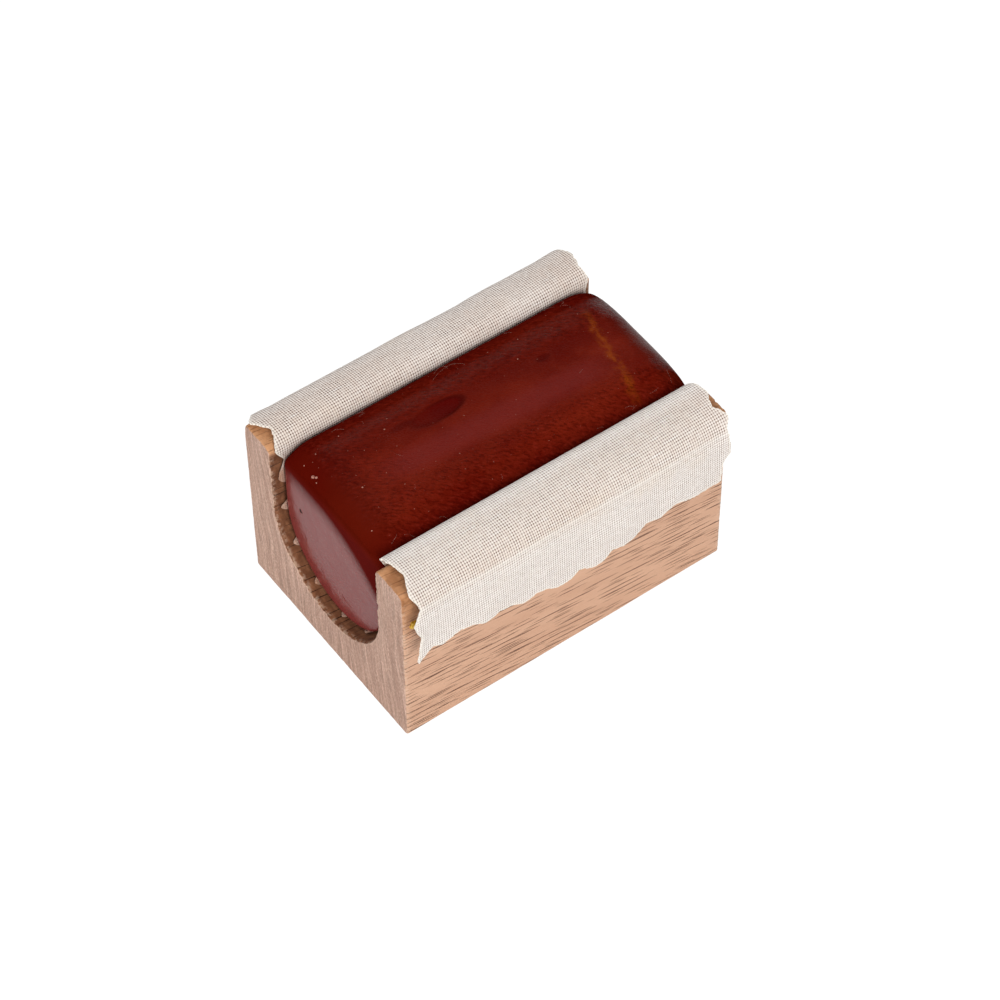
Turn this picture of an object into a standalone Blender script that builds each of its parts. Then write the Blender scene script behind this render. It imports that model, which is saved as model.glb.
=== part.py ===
"""Rosin cake: a bar of bow rosin set in a cloth-lined wooden block.

Frame: origin in the middle of the underside, +X along the block, +Z up.
The two long walls of the trough stand at -Y (right) and +Y (left). The cloth
is one sheet on the real object; it is divided here where it bends, so that
both flaps can be lifted off the walls and folded over the rosin.

Lengths are in metres. Cross-sections are loops of (y, z) points.
"""

import math
from typing import NamedTuple

import bmesh
import bpy

MM = 0.001

# Wooden block
BLOCK_LENGTH = 60.0 * MM
BLOCK_WIDTH = 41.2 * MM
BLOCK_HEIGHT = 34.0 * MM
WALL = 6.8 * MM
FLOOR = 7.7 * MM
TROUGH_RADIUS = BLOCK_WIDTH / 2 - WALL
TROUGH_AXIS_Z = FLOOR + TROUGH_RADIUS
TROUGH_FACETS = 28
WALL_TOP_ROUND = 1.1 * MM
WALL_TOP_FACETS = 4
FOOT_ROUND = 0.6 * MM
FOOT_FACETS = 3
END_BEVEL = 0.4 * MM

# Clearance between the trough, the cloth and the rosin
GAP = 0.3 * MM

# Glue: a film lining the trough, and a bead on the right wall
GLUE_GAP = 0.08 * MM
FILM_THICKNESS = 0.12 * MM
FILM_END_MARGIN = 3.5 * MM
FILM_RISE = 7.0 * MM  # above the trough's half circle
BEAD_X = -28.0 * MM
BEAD_Z = 26.6 * MM
BEAD_RADII = (0.7 * MM, 0.5 * MM, 0.9 * MM)  # along X, Y, Z
BEAD_SIDES = 10
BEAD_LEVELS = 4

# Cloth with pinked edges
CLOTH_THICKNESS = 0.4 * MM
CLOTH_RADIUS = TROUGH_RADIUS - GAP - CLOTH_THICKNESS / 2
CLOTH_END_MARGIN = 0.5 * MM
CLOTH_LENGTH = BLOCK_LENGTH - 2 * CLOTH_END_MARGIN
PINK_PITCH = 6.5 * MM
PINK_DEPTH = 1.7 * MM
PINK_STEP = PINK_PITCH / 6  # mesh spacing along the waves
PLAIN_COLUMNS = 2  # mesh columns of a panel without a pinked last row
BEND_GAP = 0.3 * MM
# The hinge axes lie off the cloth's middle surface, on its upper side, so
# that the folded layers lie flat on each other without meeting.
FOLD_LIFT = 0.55 * MM
CREASE_LIFT = 0.3 * MM
AXIS_DISPLAY_SIZE = 10.0 * MM


class Flap(NamedTuple):
    """One side of the cloth, measured along it from the top of the half circle."""

    side: str
    sign: int  # the direction of its wall along Y
    runs: tuple  # (length in mm, outward turn in degrees), starting upwards
    fold: float  # distance to the bend over the wall
    crease: float  # distance to the bend above the hanging panel


RIGHT = Flap(
    side="right",
    sign=-1,
    runs=((12.5, 0), (3.77, 90), (2.0, 3), (3.2, 20), (3.6, 50), (3.0, 14), (9.4, 1)),
    fold=15.2 * MM,
    crease=23.6 * MM,
)
LEFT = Flap(
    side="left",
    sign=1,
    runs=((11.5, 0), (3.77, 90), (2.3, 11), (2.2, 11), (1.9, 38), (2.0, 26), (10.4, 2)),
    fold=13.9 * MM,
    crease=20.7 * MM,
)

# Rosin
ROSIN_RADIUS = TROUGH_RADIUS - 2 * GAP - CLOTH_THICKNESS
ROSIN_START_X = -BLOCK_LENGTH / 2 + 2.0 * MM
ROSIN_STOP_X = BLOCK_LENGTH / 2 - 0.9 * MM
ROSIN_SHOULDER_Z = 31.3 * MM
ROSIN_CROWN = 5.1 * MM  # height of the crown above the shoulders
CROWN_POWER = 2.8  # superellipse exponent; 2 is an ellipse
CAST_FACETS = 20
CROWN_FACETS = 22
# Edge radii at the ends: low, where cast against the trough, and on the crown
CAST_EDGE = 1.8 * MM
POUR_EDGE = 4.4 * MM
EDGE_STEPS = 6
# Shares of the crown's inset taken off its sides, its shoulders and its height
POUR_SIDE_SHARE = 0.45
POUR_SHOULDER_SHARE = 0.25
POUR_HEIGHT_SHARE = 0.75


# Shared helpers


def material(name, colour, roughness):
    made = bpy.data.materials.new(name)
    made.use_nodes = True
    shader = made.node_tree.nodes["Principled BSDF"]
    shader.inputs["Base Color"].default_value = (*colour, 1.0)
    shader.inputs["Roughness"].default_value = roughness
    made.diffuse_color = (*colour, 1.0)
    return made


def link_object(name, data, parent=None):
    """Links an object, keeping its place in the world under a parent."""
    made = bpy.data.objects.new(name, data)
    bpy.context.collection.objects.link(made)
    if parent is not None:
        made.parent = parent
        made.matrix_parent_inverse = parent.matrix_world.inverted()
    return made


def add_solid(name, bm, look, parent=None, sharp=35.0):
    """Turns a bmesh into an object; edges over `sharp` degrees shade sharp."""
    bmesh.ops.remove_doubles(bm, verts=bm.verts, dist=1e-7)
    bmesh.ops.recalc_face_normals(bm, faces=bm.faces)
    mesh = bpy.data.meshes.new(name)
    bm.to_mesh(mesh)
    bm.free()
    mesh.shade_smooth()
    mesh.set_sharp_from_angle(angle=math.radians(sharp))
    mesh.materials.append(look)
    link_object(name, mesh, parent)


def ring(bm, x, outline):
    return [bm.verts.new((x, y, z)) for y, z in outline]


def bridge(bm, first, second):
    """Joins two closed rings of equal count with quads."""
    count = len(first)
    for i in range(count):
        j = (i + 1) % count
        bm.faces.new((first[i], first[j], second[j], second[i]))


def arc(centre, start, stop, radius, steps):
    """Points of an arc about `centre` between two angles in degrees."""
    points = []
    for i in range(steps + 1):
        angle = math.radians(start + (stop - start) * i / steps)
        y = centre[0] + radius * math.cos(angle)
        z = centre[1] + radius * math.sin(angle)
        points.append((y, z))
    return points


# Wooden block


def block_outline():
    """The U-shaped end of the block, anticlockwise from the right foot."""
    top = BLOCK_HEIGHT - WALL_TOP_ROUND
    outer = BLOCK_WIDTH / 2 - WALL_TOP_ROUND
    inner = TROUGH_RADIUS + WALL_TOP_ROUND
    foot = BLOCK_WIDTH / 2 - FOOT_ROUND

    def foot_round(y, start):
        return arc((y, FOOT_ROUND), start, start + 90, FOOT_ROUND, FOOT_FACETS)

    def top_round(y, start):
        return arc((y, top), start, start + 90, WALL_TOP_ROUND, WALL_TOP_FACETS)

    return (
        foot_round(-foot, 180)
        + foot_round(foot, 270)
        + top_round(outer, 0)
        + top_round(inner, 90)
        + arc((0, TROUGH_AXIS_Z), 0, -180, TROUGH_RADIUS, TROUGH_FACETS)
        + top_round(-inner, 0)
        + top_round(-outer, 90)
    )


def make_block(look):
    outline = block_outline()
    bm = bmesh.new()
    ends = [ring(bm, x, outline) for x in (-BLOCK_LENGTH / 2, BLOCK_LENGTH / 2)]
    bridge(bm, *ends)
    for end in ends:
        bm.faces.new(end)
    rims = [e for e in bm.edges if abs(e.verts[0].co.x - e.verts[1].co.x) < 1e-9]
    bmesh.ops.bevel(
        bm, geom=rims, offset=END_BEVEL, segments=1, profile=0.5, affect="EDGES"
    )
    add_solid("holder_block", bm, look)


# Glue


def make_glue_film(look):
    """A thin U-shaped shell just inside the trough."""
    outer = TROUGH_RADIUS - GLUE_GAP
    inner = outer - FILM_THICKNESS
    axis = (0, TROUGH_AXIS_Z)
    top = TROUGH_AXIS_Z + FILM_RISE
    outline = [(outer, top)]
    outline += arc(axis, 0, -180, outer, TROUGH_FACETS)
    outline += [(-outer, top), (-inner, top)]
    outline += arc(axis, -180, 0, inner, TROUGH_FACETS)
    outline += [(inner, top)]

    bm = bmesh.new()
    reach = BLOCK_LENGTH / 2 - FILM_END_MARGIN
    ends = [ring(bm, x, outline) for x in (-reach, reach)]
    bridge(bm, *ends)
    # The end faces are bands, so they are filled quad by quad.
    for end in ends:
        for i in range(len(outline) // 2 - 1):
            bm.faces.new((end[i], end[i + 1], end[-2 - i], end[-1 - i]))
    add_solid("glue_film", bm, look)


def make_glue_bead(look):
    """Half an ellipsoid of glue on the right wall's outer face, under the flap."""
    bm = bmesh.new()
    base_y = -BLOCK_WIDTH / 2 - GLUE_GAP
    radius_x, radius_y, radius_z = BEAD_RADII
    rings = []
    for level in range(BEAD_LEVELS):
        lift = math.radians(90 * level / BEAD_LEVELS)
        y = base_y - radius_y * math.sin(lift)
        verts = []
        for i in range(BEAD_SIDES):
            angle = 2 * math.pi * i / BEAD_SIDES
            x = BEAD_X + radius_x * math.cos(lift) * math.cos(angle)
            z = BEAD_Z + radius_z * math.cos(lift) * math.sin(angle)
            verts.append(bm.verts.new((x, y, z)))
        rings.append(verts)
    for lower, upper in zip(rings, rings[1:]):
        bridge(bm, lower, upper)
    bm.faces.new(rings[0])
    tip = bm.verts.new((BEAD_X, base_y - radius_y, BEAD_Z))
    last = rings[-1]
    for i in range(BEAD_SIDES):
        bm.faces.new((last[i], last[(i + 1) % BEAD_SIDES], tip))
    add_solid("glue_bead", bm, look, sharp=50.0)


# Cloth


def flap_point(runs, distance):
    """(outward, up, heading) on a flap's middle surface, `distance` along it.

    Negative distances lie on the half circle. The heading is in radians.
    """
    out, up, heading = CLOTH_RADIUS, TROUGH_AXIS_Z, math.radians(90)
    if distance < 0:
        turned = distance / CLOTH_RADIUS
        return (
            CLOTH_RADIUS * math.cos(turned),
            TROUGH_AXIS_Z + CLOTH_RADIUS * math.sin(turned),
            heading + turned,
        )
    left = distance
    for length_mm, turn in runs:
        length = length_mm * MM
        used = min(left, length)
        bent = -math.radians(turn) * used / length
        chord = used if abs(bent) < 1e-9 else 2 * used / bent * math.sin(bent / 2)
        out += chord * math.cos(heading + bent / 2)
        up += chord * math.sin(heading + bent / 2)
        heading += bent
        left -= used
        if left <= 0:
            break
    return out, up, heading


def flap_surface(flap):
    """A function from distance to (y, z, normal_y, normal_z) on the flap."""

    def place(distance):
        out, up, heading = flap_point(flap.runs, distance)
        return flap.sign * out, up, -flap.sign * math.sin(heading), math.cos(heading)

    return place


def pinking(distance):
    """How far the pinked edge stands back from its tips, at a distance along it."""
    return PINK_DEPTH * (0.5 - 0.5 * math.cos(2 * math.pi * distance / PINK_PITCH))


def even(start, stop):
    """Equal stations from start to stop, at most PINK_STEP apart."""
    count = max(1, math.ceil((stop - start) / PINK_STEP - 1e-9))
    return [start + (stop - start) * i / count for i in range(count + 1)]


def cloth_face(bm, place, stations, columns, pinked_hem, side):
    """Rows of vertices on one face of the cloth; side is 1 or -1."""
    first, last = stations[0], stations[-1]
    offset = side * CLOTH_THICKNESS / 2
    grid = []
    for station in stations:
        row = []
        for column in range(columns + 1):
            share = column / columns
            distance = station
            if pinked_hem:
                # Each column is shortened to end on the wavy hem.
                along = (share - 0.5) * CLOTH_LENGTH - CLOTH_LENGTH / 2
                reach = last - pinking(along + PINK_PITCH / 2)
                distance = first + (station - first) * (reach - first) / (last - first)
            reach_x = CLOTH_LENGTH / 2 - pinking(distance)
            y, z, normal_y, normal_z = place(distance)
            position = ((share - 0.5) * 2 * reach_x, y + offset * normal_y, z + offset * normal_z)
            row.append(bm.verts.new(position))
        grid.append(row)
    return grid


def make_panel(name, place, stations, look, columns=PLAIN_COLUMNS, pinked_hem=False, parent=None):
    """A cloth panel: rows follow `stations` along the cloth, columns run along X.

    Its ends in X are pinked, and with pinked_hem its last row is too.
    """
    bm = bmesh.new()
    top, bottom = [
        cloth_face(bm, place, stations, columns, pinked_hem, side) for side in (1, -1)
    ]
    rows = len(stations) - 1
    for grid in (top, bottom):
        for r in range(rows):
            for c in range(columns):
                bm.faces.new((grid[r][c], grid[r][c + 1], grid[r + 1][c + 1], grid[r + 1][c]))
    for c in range(columns):
        for r in (0, rows):
            bm.faces.new((top[r][c], top[r][c + 1], bottom[r][c + 1], bottom[r][c]))
    for r in range(rows):
        for c in (0, columns):
            bm.faces.new((top[r][c], top[r + 1][c], bottom[r + 1][c], bottom[r][c]))
    add_solid(name, bm, look, parent, sharp=50.0)


def make_liner(look):
    """The cloth in the trough, from the left fold round to the right fold."""
    quarter = math.pi * CLOTH_RADIUS / 2
    right = flap_surface(RIGHT)
    left = flap_surface(LEFT)

    def place(distance):
        # Measured from the trough's lowest line, negative to the left.
        if distance >= 0:
            return right(distance - quarter)
        return left(-distance - quarter)

    start = -(quarter + LEFT.fold - BEND_GAP / 2)
    stop = quarter + RIGHT.fold - BEND_GAP / 2
    stations = even(start, 0) + even(0, stop)[1:]
    make_panel("cloth_liner", place, stations, look)


def make_axis(name, place, distance, lift, parent=None):
    """An empty on a bend's hinge line, at the middle of the block's length."""
    y, z, normal_y, normal_z = place(distance)
    empty = link_object(name, None, parent)
    empty.empty_display_size = AXIS_DISPLAY_SIZE
    empty.location = (0, y + lift * normal_y, z + lift * normal_z)
    # Children need its world matrix for their parent inverse.
    bpy.context.view_layer.update()
    return empty


def make_flap(flap, look):
    """A top panel hinged at the fold, and a hanging panel hinged at the crease."""
    place = flap_surface(flap)
    side = flap.side
    fold = make_axis(side + "_fold_axis", place, flap.fold, FOLD_LIFT)
    crease = make_axis(side + "_crease_axis", place, flap.crease, CREASE_LIFT, fold)

    top = even(flap.fold + BEND_GAP / 2, flap.crease - BEND_GAP / 2)
    make_panel(side + "_flap_top", place, top, look, parent=fold)

    length = sum(run[0] for run in flap.runs) * MM
    hang = even(flap.crease + BEND_GAP / 2, length)
    columns = 2 * round(CLOTH_LENGTH / PINK_STEP / 2)
    make_panel(side + "_flap_hang", place, hang, look, columns, pinked_hem=True, parent=crease)


# Rosin


def rosin_outline(cast_inset, pour_inset):
    """The bar's cross-section, drawn in by one amount where it was cast against
    the trough and by another on its crown."""
    radius = ROSIN_RADIUS - cast_inset
    shoulder = ROSIN_SHOULDER_Z - pour_inset * POUR_SHOULDER_SHARE
    crown = ROSIN_CROWN - pour_inset * POUR_HEIGHT_SHARE
    power = 2 / CROWN_POWER
    points = arc((0, TROUGH_AXIS_Z), 180, 360, radius, CAST_FACETS)
    for i in range(CROWN_FACETS + 1):
        angle = math.pi * i / CROWN_FACETS
        across = math.copysign(abs(math.cos(angle)) ** power, math.cos(angle))
        # The sine can fall just below zero at the ends, so they are set flat.
        lift = math.sin(angle) ** power if 0 < i < CROWN_FACETS else 0.0
        half = radius - (pour_inset - cast_inset) * lift * POUR_SIDE_SHARE
        points.append((half * across, shoulder + crown * lift))
    return points


def rosin_end(bm, end_x, inward):
    """Rings of one rounded end, from its face inwards."""
    rings = []
    for i in range(EDGE_STEPS + 1):
        angle = math.radians(90 * i / EDGE_STEPS)
        depth = POUR_EDGE * (1 - math.cos(angle))
        pour = POUR_EDGE * (1 - math.sin(angle))
        # The cast edge has a smaller radius, so it ends sooner.
        part = min(1.0, depth / CAST_EDGE)
        cast = CAST_EDGE * (1 - math.sqrt(1 - (1 - part) ** 2))
        rings.append(ring(bm, end_x + inward * depth, rosin_outline(cast, pour)))
    return rings


def make_rosin(look):
    bm = bmesh.new()
    start = rosin_end(bm, ROSIN_START_X, 1)
    stop = rosin_end(bm, ROSIN_STOP_X, -1)
    chain = start + stop[::-1]
    for first, second in zip(chain, chain[1:]):
        bridge(bm, first, second)
    bm.faces.new(chain[0])
    bm.faces.new(chain[-1])
    add_solid("rosin_cake", bm, look, sharp=60.0)


def main():
    for obj in list(bpy.data.objects):
        bpy.data.objects.remove(obj, do_unlink=True)
    beech = material("beech", colour=(0.72, 0.56, 0.43), roughness=0.55)
    calico = material("calico", colour=(0.86, 0.80, 0.74), roughness=0.9)
    rosin = material("rosin", colour=(0.12, 0.012, 0.006), roughness=0.12)
    glue = material("glue", colour=(0.75, 0.52, 0.12), roughness=0.25)
    make_block(beech)
    make_glue_film(glue)
    make_glue_bead(glue)
    make_liner(calico)
    make_flap(RIGHT, calico)
    make_flap(LEFT, calico)
    make_rosin(rosin)


main()
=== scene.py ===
"""Looks of the rosin cake: a beech block, a cast bar of rosin and a pinked calico
liner whose two flaps fold over the block's walls.

Row frame: metres, +X along the block, +Z up, right wall at -Y, left wall at +Y.
The front is the -X end. Profile numbers below are in millimetres. Cloth is laid out
in two coordinates: x along the block, and t, the distance along the cloth from the
bottom of the trough, positive towards the right flap.
"""

import math
from itertools import product

import bmesh
import bpy
import numpy as np
from mathutils import Euler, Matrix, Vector
from mathutils.bvhtree import BVHTree


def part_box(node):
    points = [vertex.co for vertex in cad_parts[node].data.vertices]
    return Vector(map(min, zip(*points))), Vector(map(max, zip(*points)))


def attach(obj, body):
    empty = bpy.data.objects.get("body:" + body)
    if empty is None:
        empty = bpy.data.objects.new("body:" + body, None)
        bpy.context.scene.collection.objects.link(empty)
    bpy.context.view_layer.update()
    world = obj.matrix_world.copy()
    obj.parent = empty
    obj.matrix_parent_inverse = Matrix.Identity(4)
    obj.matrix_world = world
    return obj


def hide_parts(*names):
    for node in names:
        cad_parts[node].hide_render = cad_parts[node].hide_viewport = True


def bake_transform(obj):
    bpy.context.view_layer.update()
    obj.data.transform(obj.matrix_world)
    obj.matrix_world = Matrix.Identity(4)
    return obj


MM = 0.001
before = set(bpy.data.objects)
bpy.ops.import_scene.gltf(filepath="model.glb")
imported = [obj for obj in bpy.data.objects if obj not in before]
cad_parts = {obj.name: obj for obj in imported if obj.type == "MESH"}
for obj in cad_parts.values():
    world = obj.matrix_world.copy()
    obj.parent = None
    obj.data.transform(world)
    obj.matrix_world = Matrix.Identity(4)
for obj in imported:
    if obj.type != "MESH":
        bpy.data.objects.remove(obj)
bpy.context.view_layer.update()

# ---------------------------------------------------------------- dimensions
_, block_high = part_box("holder_block")
HALF_LENGTH = block_high.x / MM
HALF_WIDTH = block_high.y / MM
HEIGHT = block_high.z / MM
WALL = 6.8
TROUGH_R = HALF_WIDTH - WALL
AXIS_Z = 21.5
CREST_ROUND = 1.1
FOOT_ROUND = 0.6
END_ROUND = 0.4

CLOTH_R = 13.3
CLOTH_THICK = 0.3
QUARTER = CLOTH_R * math.pi / 2
# Each flap's path above the trough's axis, as (length, degrees it turns outward).
RIGHT_RUNS = ((12.5, 0), (3.77, 90), (2.0, 3), (3.2, 20), (3.6, 50), (3.0, 14), (9.4, 1))
LEFT_RUNS = ((11.5, 0), (3.77, 90), (2.3, 11), (2.2, 11), (1.9, 38), (2.0, 26), (10.4, 2))
# Distances above the axis of each flap's two folds, and of the seams between its meshes.
RIGHT_BENDS = (15.2, 23.6)
LEFT_BENDS = (13.9, 20.7)
RIGHT_SEAMS = (9.5, 18.0)
LEFT_SEAMS = (9.0, 16.8)
THREAD_X = 0.4
THREAD_T = 0.4386

rosin_low, rosin_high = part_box("rosin_cake")
ROSIN_FRONT = rosin_low.x / MM
ROSIN_BACK = rosin_high.x / MM
ROSIN_TOP = rosin_high.z / MM
FRONT_FACE = ROSIN_FRONT - 0.12
ROSIN_R = 13.02
SHOULDER_Z = 31.3
CROWN = ROSIN_TOP - SHOULDER_Z
CROWN_POWER = 2.8
CAST_EDGE = 0.55
POUR_DEPTH = 4.2
POUR_DROP = 3.0
POUR_POWER = 1.5
# Centres of the long hollow and small pocket on the crown, as (x, y), and of the
# pinhole in the front face, as (y, z).
HOLLOW = (-6.3, 3.60)
HOLLOW_SLOPE = 0.02
POCKET = (12.8, 2.9)
PINHOLE = (9.0, 23.3)


# -------------------------------------------------------------- smooth noise
def lattice(ix, iy, iz, seed):
    """A repeatable value from -1 to 1 for each point of a whole-number lattice."""
    with np.errstate(over="ignore"):
        bits = (
            ix.astype(np.int64) * 374761393
            + iy.astype(np.int64) * 668265263
            + iz.astype(np.int64) * 2147483647
            + seed * 1274126177
        ) & 0xFFFFFFFF
        bits = ((bits ^ (bits >> 13)) * 1274126177) & 0xFFFFFFFF
        bits = ((bits ^ (bits >> 16)) * 2246822519) & 0xFFFFFFFF
    bits = bits ^ (bits >> 15)
    return bits.astype(float) / 0x7FFFFFFF - 1.0


def ease(share):
    return share * share * (3 - 2 * share)


def smooth(start, stop, value):
    """0 at start, 1 at stop, smooth in between; start may exceed stop."""
    return ease(np.clip((np.asarray(value, float) - start) / (stop - start), 0, 1))


def noise(x, y=0.0, z=0.0, seed=0):
    """Smooth noise from -1 to 1; features are about one unit across."""
    x, y, z = np.broadcast_arrays(
        np.asarray(x, float), np.asarray(y, float), np.asarray(z, float)
    )
    low_x, low_y, low_z = np.floor(x), np.floor(y), np.floor(z)
    share_x, share_y, share_z = ease(x - low_x), ease(y - low_y), ease(z - low_z)
    total = 0.0
    for i, j, k in product((0, 1), repeat=3):
        weight = (
            (share_x if i else 1 - share_x)
            * (share_y if j else 1 - share_y)
            * (share_z if k else 1 - share_z)
        )
        total = total + weight * lattice(low_x + i, low_y + j, low_z + k, seed)
    return total


# -------------------------------------------------------------- mesh helpers
def build(name, points_mm, faces, material, sharp=None, uvs=None):
    """A mesh object from millimetre points. uvs is one (u, v) per point."""
    mesh = bpy.data.meshes.new(name)
    mesh.from_pydata((np.asarray(points_mm, float) * MM).tolist(), [], faces)
    mesh.shade_smooth()
    if uvs is not None:
        layer = mesh.uv_layers.new(name="Layout")
        index = np.empty(len(mesh.loops), np.int32)
        mesh.loops.foreach_get("vertex_index", index)
        layer.data.foreach_set("uv", np.asarray(uvs, np.float32)[index].ravel())
    if sharp is not None:
        mesh.set_sharp_from_angle(angle=math.radians(sharp))
    mesh.materials.append(material)
    mesh.validate()
    made = bpy.data.objects.new(name, mesh)
    bpy.context.scene.collection.objects.link(made)
    return made


def point_attribute(obj, name, values):
    attribute = obj.data.attributes.new(name, "FLOAT", "POINT")
    attribute.data.foreach_set("value", np.asarray(values, np.float32).ravel())


def ring_faces(rows, count, start=0):
    """Quads joining rows of closed rings, each of count points."""
    faces = []
    for row in range(rows - 1):
        low = start + row * count
        high = low + count
        for i in range(count):
            j = (i + 1) % count
            faces.append((low + i, low + j, high + j, high + i))
    return faces


def cap_faces(rows, count, start=0):
    """One face over the first ring and one over the last."""
    last = start + (rows - 1) * count
    return [tuple(range(start, start + count))[::-1], tuple(range(last, last + count))]


def closed_faces(rows, count, start=0):
    return ring_faces(rows, count, start) + cap_faces(rows, count, start)


def tube(path, radius, sides=5):
    """Points and faces of a closed tube along a path of millimetre points."""
    path = np.asarray(path, float)
    along = np.gradient(path, axis=0)
    along /= np.linalg.norm(along, axis=1)[:, None] + 1e-12
    first = np.cross(along, np.array([0.31, 0.17, 0.93]))
    first /= np.linalg.norm(first, axis=1)[:, None] + 1e-12
    second = np.cross(along, first)
    points = []
    for i, point in enumerate(path):
        for k in range(sides):
            angle = 2 * math.pi * k / sides
            spoke = math.cos(angle) * first[i] + math.sin(angle) * second[i]
            points.append(point + radius * spoke)
    return points, closed_faces(len(path), sides)


# ------------------------------------------------------------ shader helpers
def arithmetic(operation, swapped=False):
    """A Signal method that adds one Math node."""

    def apply(self, other=None):
        pair = (other, self) if swapped else (self, other)
        return self.nodes.math(operation, *pair)

    return apply


class Signal:
    """A node's output. Arithmetic on it adds Math nodes."""

    def __init__(self, nodes, socket):
        self.nodes = nodes
        self.socket = socket

    __add__ = arithmetic("ADD")
    __radd__ = arithmetic("ADD", swapped=True)
    __sub__ = arithmetic("SUBTRACT")
    __rsub__ = arithmetic("SUBTRACT", swapped=True)
    __mul__ = arithmetic("MULTIPLY")
    __truediv__ = arithmetic("DIVIDE")
    __mod__ = arithmetic("MODULO")
    __pow__ = arithmetic("POWER")
    __lt__ = arithmetic("LESS_THAN")
    __abs__ = arithmetic("ABSOLUTE")
    floor = arithmetic("FLOOR")
    sine = arithmetic("SINE")
    sqrt = arithmetic("SQRT")
    maximum = arithmetic("MAXIMUM")
    minimum = arithmetic("MINIMUM")

    def ramp(self, start, stop, before=0.0, after=1.0):
        """before up to start, after from stop on, smooth between; start may exceed stop."""
        node = self.nodes.add("ShaderNodeMapRange", self, interpolation_type="SMOOTHSTEP")
        if start <= stop:
            limits = (start, stop, before, after)
        else:
            limits = (stop, start, after, before)
        for key, number in zip(("From Min", "From Max", "To Min", "To Max"), limits):
            node.inputs[key].default_value = number
        return self.nodes.output(node, "Result")


class Nodes:
    """The node tree of a material or world, with short names for adding to it.

    Texture vectors are signals or tuples. In a tuple, each factor is the number of
    features per unit, and a bare number picks an unrelated slice of the noise.
    """

    def __init__(self, owner, shader="Principled BSDF"):
        owner.use_nodes = True
        self.owner = owner
        self.tree = owner.node_tree
        self.shader = self.tree.nodes[shader]

    def add(self, kind, *inputs, **settings):
        node = self.tree.nodes.new(kind)
        for key, value in settings.items():
            setattr(node, key, value)
        for socket, value in zip(node.inputs, inputs):
            if value is not None:
                self.put(socket, value)
        return node

    def put(self, socket, value):
        if isinstance(value, Signal):
            self.tree.links.new(value.socket, socket)
        elif isinstance(value, tuple):
            socket.default_value = (*value, 1.0)
        else:
            socket.default_value = value

    def output(self, node, key=0):
        return Signal(self, node.outputs[key])

    def math(self, operation, first, second=None, clamp=False):
        return self.output(
            self.add("ShaderNodeMath", first, second, operation=operation, use_clamp=clamp)
        )

    def combine(self, parts):
        return self.output(self.add("ShaderNodeCombineXYZ", *parts))

    def split(self, vector):
        node = self.add("ShaderNodeSeparateXYZ", vector)
        return [self.output(node, i) for i in range(3)]

    def noise(self, vector, detail=2.0, rough=0.5, scale=1.0, distort=0.0):
        if isinstance(vector, tuple):
            vector = self.combine(vector)
        node = self.add("ShaderNodeTexNoise")
        self.put(node.inputs["Vector"], vector)
        node.inputs["Scale"].default_value = scale
        node.inputs["Detail"].default_value = detail
        node.inputs["Roughness"].default_value = rough
        node.inputs["Distortion"].default_value = distort
        return self.output(node, "Fac")

    def cells(self, parts):
        """Flat unit cells: the distance to each one's middle, and its colour."""
        node = self.add("ShaderNodeTexVoronoi", voronoi_dimensions="2D")
        self.put(node.inputs["Vector"], self.combine(parts))
        node.inputs["Scale"].default_value = 1.0
        return self.output(node, "Distance"), self.output(node, "Color")

    def white(self, parts):
        """Three unrelated random numbers for each whole-number place."""
        node = self.add("ShaderNodeTexWhiteNoise")
        self.put(node.inputs["Vector"], self.combine(parts))
        return self.split(self.output(node, "Color"))

    def mix(self, share, base, laid):
        """A colour: base, with a share of the laid colour over it."""
        node = self.add("ShaderNodeMix", data_type="RGBA")
        for index, value in ((0, share), (6, base), (7, laid)):
            self.put(node.inputs[index], value)
        return self.output(node, 2)

    def blend(self, share, first, second):
        """A number: first at share 0, second at share 1."""
        node = self.add("ShaderNodeMix", data_type="FLOAT")
        for index, value in ((0, share), (2, first), (3, second)):
            self.put(node.inputs[index], value)
        return self.output(node)

    def attribute(self, name):
        return self.output(self.add("ShaderNodeAttribute", attribute_name=name), "Fac")

    def millimetres(self):
        place = self.output(self.add("ShaderNodeTexCoord"), "Object")
        node = self.add("ShaderNodeVectorMath", place, operation="SCALE")
        node.inputs["Scale"].default_value = 1000.0
        return self.output(node)

    def layout(self):
        return self.output(self.add("ShaderNodeUVMap", uv_map="Layout"))

    def bump(self, height, distance_mm, strength):
        node = self.add("ShaderNodeBump")
        self.put(node.inputs["Height"], height)
        node.inputs["Distance"].default_value = distance_mm * MM
        node.inputs["Strength"].default_value = strength
        return self.output(node)

    def set(self, **sockets):
        for key, value in sockets.items():
            self.put(self.shader.inputs[key.replace("_", " ")], value)
        return self.owner


def new_material(name):
    return Nodes(bpy.data.materials.new(name))


# ----------------------------------------------------------------- materials
# In a mix, a factor at the end of the share is the most of the colour laid on.
def vessel_dashes(mat, along, lane, length, pitch, half_width, kept, shift):
    """Thin dark vessel lines: at most one to a lane and stretch, tapered."""
    row = lane / pitch + shift
    whole = row.floor()
    start = mat.white((whole, shift, 0.5))[0]
    run = along / length + start * 9.0
    stretch = run.floor()
    chance, seat, size = mat.white((whole, stretch, shift + 0.5))
    seat = 0.32 + seat * 0.36
    off = abs(row - whole - seat) * pitch
    span = 0.22 + size * 0.27
    out = abs(run - stretch - 0.5) / span
    width = (1.0 - out**2.0) * (0.55 + size * 0.6) * half_width
    line = mat.math("DIVIDE", width - off, half_width * 0.14, clamp=True)
    return line * (chance < kept)


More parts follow.
